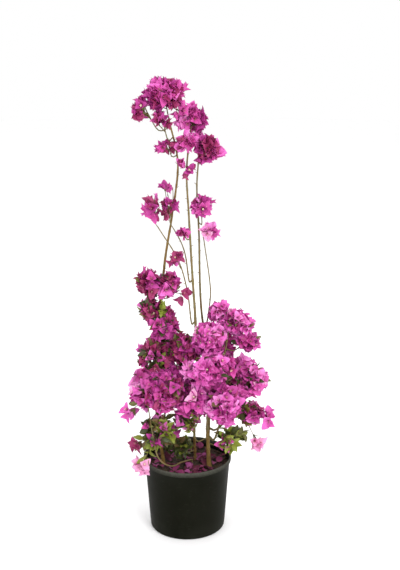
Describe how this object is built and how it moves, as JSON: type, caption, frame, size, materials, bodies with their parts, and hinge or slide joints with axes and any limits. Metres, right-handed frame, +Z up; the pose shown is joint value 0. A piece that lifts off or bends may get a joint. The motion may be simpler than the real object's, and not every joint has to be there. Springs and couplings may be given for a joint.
{
  "type": "bougainvillea bush",
  "caption": "Upright bougainvillea in a round black nursery pot: slim climbing stems with clusters of magenta bracts over a dense flowering base.",
  "frame": {"origin": "centre of the pot's flat underside", "axes": "+Z up along the plant, -Y towards the plant's front, +X to the right seen from the front"},
  "size_m": [0.4692, 0.385, 1.3804],
  "materials": {
    "pot": "satin",
    "soil": "matte",
    "bark": "matte",
    "blossom": "matte",
    "deep_blossom": "matte",
    "leaves": "matte"
  },
  "bodies": {
    "root": {"pot": "pot", "soil": "soil", "trunk": "bark", "stem_left": "bark", "stem_back": "bark", "bough_middle": "bark", "bough_right": "bark", "whip_right": "bark", "whip_cross_low": "bark", "whip_cross_high": "bark", "runner": "bark", "bough_front": "bark", "bough_right_high": "bark", "bough_low_right": "bark", "bough_far_right": "bark", "bough_right_back": "bark", "bough_left_low": "bark", "bough_left_high": "bark", "bough_back_right": "bark", "bough_back_left": "bark", "mass_top_left": "blossom", "mass_top_left_tip": "blossom", "mass_top_left_low": "blossom", "mass_top_right": "blossom", "mass_top_low_left": "blossom", "mass_top_low": "blossom", "mass_top_spur": "blossom", "mass_top_tassel": "blossom", "mass_upper_left": "deep_blossom", "mass_upper_left_inner": "deep_blossom", "mass_upper_right": "blossom", "mass_middle_bloom": "blossom", "mass_whip_blooms": "blossom", "mass_cross_bloom": "blossom", "mass_left_shoulder": "deep_blossom", "mass_left_inner": "deep_blossom", "mass_left_column_top": "deep_blossom", "mass_left_column_upper": "deep_blossom", "mass_left_column_lower": "deep_blossom", "mass_right_crown": "blossom", "mass_right_spike": "blossom", "mass_right_front": "blossom", "mass_right_side": "blossom", "mass_middle_shade": "deep_blossom", "mass_middle_front": "blossom", "mass_right_flank": "blossom", "mass_lower_left": "blossom", "mass_left_flank": "blossom", "mass_lower_right": "blossom", "mass_low_right_flank": "blossom", "mass_skirt_left": "leaves", "mass_middle_low": "blossom", "mass_middle_core": "blossom", "mass_skirt_right": "leaves", "mass_foot_leaves": "leaves", "mass_back_upper": "blossom", "mass_back_left_upper": "blossom", "mass_back_left": "blossom", "mass_back_right": "blossom", "mass_right_back": "blossom"}
  },
  "joints": []
}
